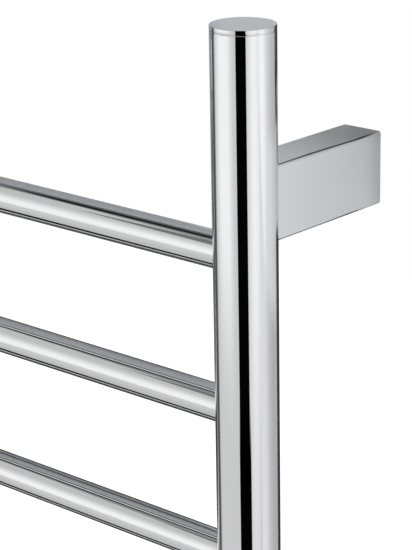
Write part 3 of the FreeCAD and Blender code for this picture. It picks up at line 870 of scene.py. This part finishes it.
        # The wall's paleness, darkened in turn by each painted shadow and painted shade.
        shade = maths.value(self.wall_shade)
        for darkness, depth in ((behind, 0.32), (deeper_painted_shadow, 0.20), (painted_bar_shadows, 0.75), (painted_contact_shadow, 0.36), (painted_shade_right_of_post, 0.16), (bottom, 0.6), (painted_shade_high_up, 0.9), (post_shadow, 0.86), (painted_dark_line_over_arm, 0.86)):
            shade = maths.multiply(shade, maths.complement(maths.multiply(darkness, depth)))
        # The post's painted shadow dims the painted light too.
        glow = maths.multiply(glow, maths.complement(maths.multiply(post_shadow, 0.9)))
        tree.links.new(glow, shader.inputs["Emission Strength"])
        tint = tree.nodes.new("ShaderNodeCombineColor")
        for channel, share in zip(("Red", "Green", "Blue"), self.wall_tint):
            tree.links.new(maths.multiply(shade, share), tint.inputs[channel])
        tree.links.new(tint.outputs["Color"], shader.inputs["Base Color"])
        return material

    def _flag(self) -> None:
        """Hangs the dark flag above and to the left of the rack."""
        mesh = bpy.data.meshes.new("flag")
        bearing = math.radians(-52.0)
        out = Vector((math.sin(bearing), -math.cos(bearing), 0.0)) * 0.70
        along = Vector((math.cos(bearing), math.sin(bearing), 0.0))
        base = Vector((self.places.post_x, self.places.depth, self.places.top)) + out
        corners = [base + along * s + Vector((0.0, 0.0, h)) for s, h in ((-0.12, 0.285), (0.5, 0.285), (0.5, 0.85))]
        corners.append(base + along * -0.16 + Vector((0.0, 0.0, 0.85)))
        mesh.from_pydata([tuple(corner) for corner in corners], [], [(0, 1, 2, 3)])
        flag = new_object("flag", mesh, self._plain("flag", 0.02, 0.17))
        flag.visible_camera = False
        flag.visible_shadow = False
        flag.visible_diffuse = False


@dataclass
class SocketMaths:
    """Small sums made of math nodes in one tree."""

    tree: bpy.types.NodeTree

    def _node(self, operation: str, first: object, second: object = None) -> bpy.types.NodeSocket:
        """One math node.

        Args:
            operation: The node's operation.
            first: Its first value, a socket or a number.
            second: Its second value, if it has one.

        Returns:
            The node's output.
        """
        node = self.tree.nodes.new("ShaderNodeMath")
        node.operation = operation
        for index, value in enumerate((first, second)):
            if value is None:
                continue
            if isinstance(value, bpy.types.NodeSocket):
                self.tree.links.new(value, node.inputs[index])
            else:
                node.inputs[index].default_value = value
        return node.outputs[0]

    def value(self, number: float) -> bpy.types.NodeSocket:
        """A plain number."""
        return self._node("ADD", number, 0.0)

    def add(self, first: object, second: object) -> bpy.types.NodeSocket:
        """The sum of two values."""
        return self._node("ADD", first, second)

    def multiply(self, first: object, second: object) -> bpy.types.NodeSocket:
        """The product of two values."""
        return self._node("MULTIPLY", first, second)

    def negate(self, first: object) -> bpy.types.NodeSocket:
        """The value with its sign turned."""
        return self._node("MULTIPLY", first, -1.0)

    def complement(self, first: object) -> bpy.types.NodeSocket:
        """One less the value."""
        return self._node("SUBTRACT", 1.0, first)

    def cosine(self, first: object) -> bpy.types.NodeSocket:
        """The cosine of an angle in radians."""
        return self._node("COSINE", first)

    def degrees(self, first: object) -> bpy.types.NodeSocket:
        """The angle in degrees."""
        return self._node("DEGREES", first)

    def arcsine(self, first: object) -> bpy.types.NodeSocket:
        """The angle whose sine is the value."""
        return self._node("ARCSINE", first)

    def arctan2(self, first: object, second: object) -> bpy.types.NodeSocket:
        """The angle of a direction."""
        return self._node("ARCTAN2", first, second)

    def ramp(self, value: object, low: float, high: float) -> bpy.types.NodeSocket:
        """A smooth climb from 0 at low to 1 at high.

        Args:
            value: The driving value.
            low: Where it starts.
            high: Where it ends. Below low, it falls instead.

        Returns:
            The smooth step.
        """
        node = self.tree.nodes.new("ShaderNodeMapRange")
        node.interpolation_type = "SMOOTHSTEP"
        if low < high:
            node.inputs["From Min"].default_value = low
            node.inputs["From Max"].default_value = high
        else:
            node.inputs["From Min"].default_value = high
            node.inputs["From Max"].default_value = low
            node.inputs["To Min"].default_value = 1.0
            node.inputs["To Max"].default_value = 0.0
        self.tree.links.new(value, node.inputs["Value"])
        return node.outputs["Result"]

    def window(self, azimuth: object, elevation: object, panel: LightPanel) -> bpy.types.NodeSocket:
        """A panel's level at each direction.

        Args:
            azimuth: The direction's azimuth in degrees.
            elevation: The direction's elevation in degrees.
            panel: The panel.

        Returns:
            Its level inside, falling softly to 0 outside.
        """
        (left, right), (low, high) = panel.azimuth, panel.elevation
        left_soft, right_soft = panel.azimuth_soft
        low_soft, high_soft = panel.elevation_soft
        result = self.ramp(azimuth, left - left_soft / 2, left + left_soft / 2)
        result = self.multiply(result, self.ramp(azimuth, right + right_soft / 2, right - right_soft / 2))
        result = self.multiply(result, self.ramp(elevation, low - low_soft / 2, low + low_soft / 2))
        result = self.multiply(result, self.ramp(elevation, high + high_soft / 2, high - high_soft / 2))
        return self.multiply(result, panel.level)


def dress_nodes(nodes: dict[str, bpy.types.Object], finishes: dict[str, bpy.types.Material]) -> None:
    """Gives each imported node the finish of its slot.

    Args:
        nodes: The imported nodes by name.
        finishes: The finishes by slot.
    """
    for name, node in nodes.items():
        for slot in node.material_slots:
            if slot.material and slot.material.name in finishes:
                slot.material = finishes[slot.material.name]
        LOG.info("dressed %s", name)


def main() -> None:
    """Builds the rack and its studio."""
    logging.basicConfig(level=logging.INFO, format="%(message)s")
    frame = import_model()
    finishes = FinishBook().build()
    dress_nodes(frame["nodes"], finishes)
    places = Places.read()
    chrome = finishes["polished_chrome"]
    spring = ReturnSpring(finishes["plated_steel"], places)
    for assembly in (Ladder(chrome, places), EndCaps(chrome, places), spring):
        for piece in assembly.build():
            LOG.info("built %s with %d faces", piece.name, len(piece.data.polygons))
    Studio(places).build()


if __name__ == "__main__":
    main()
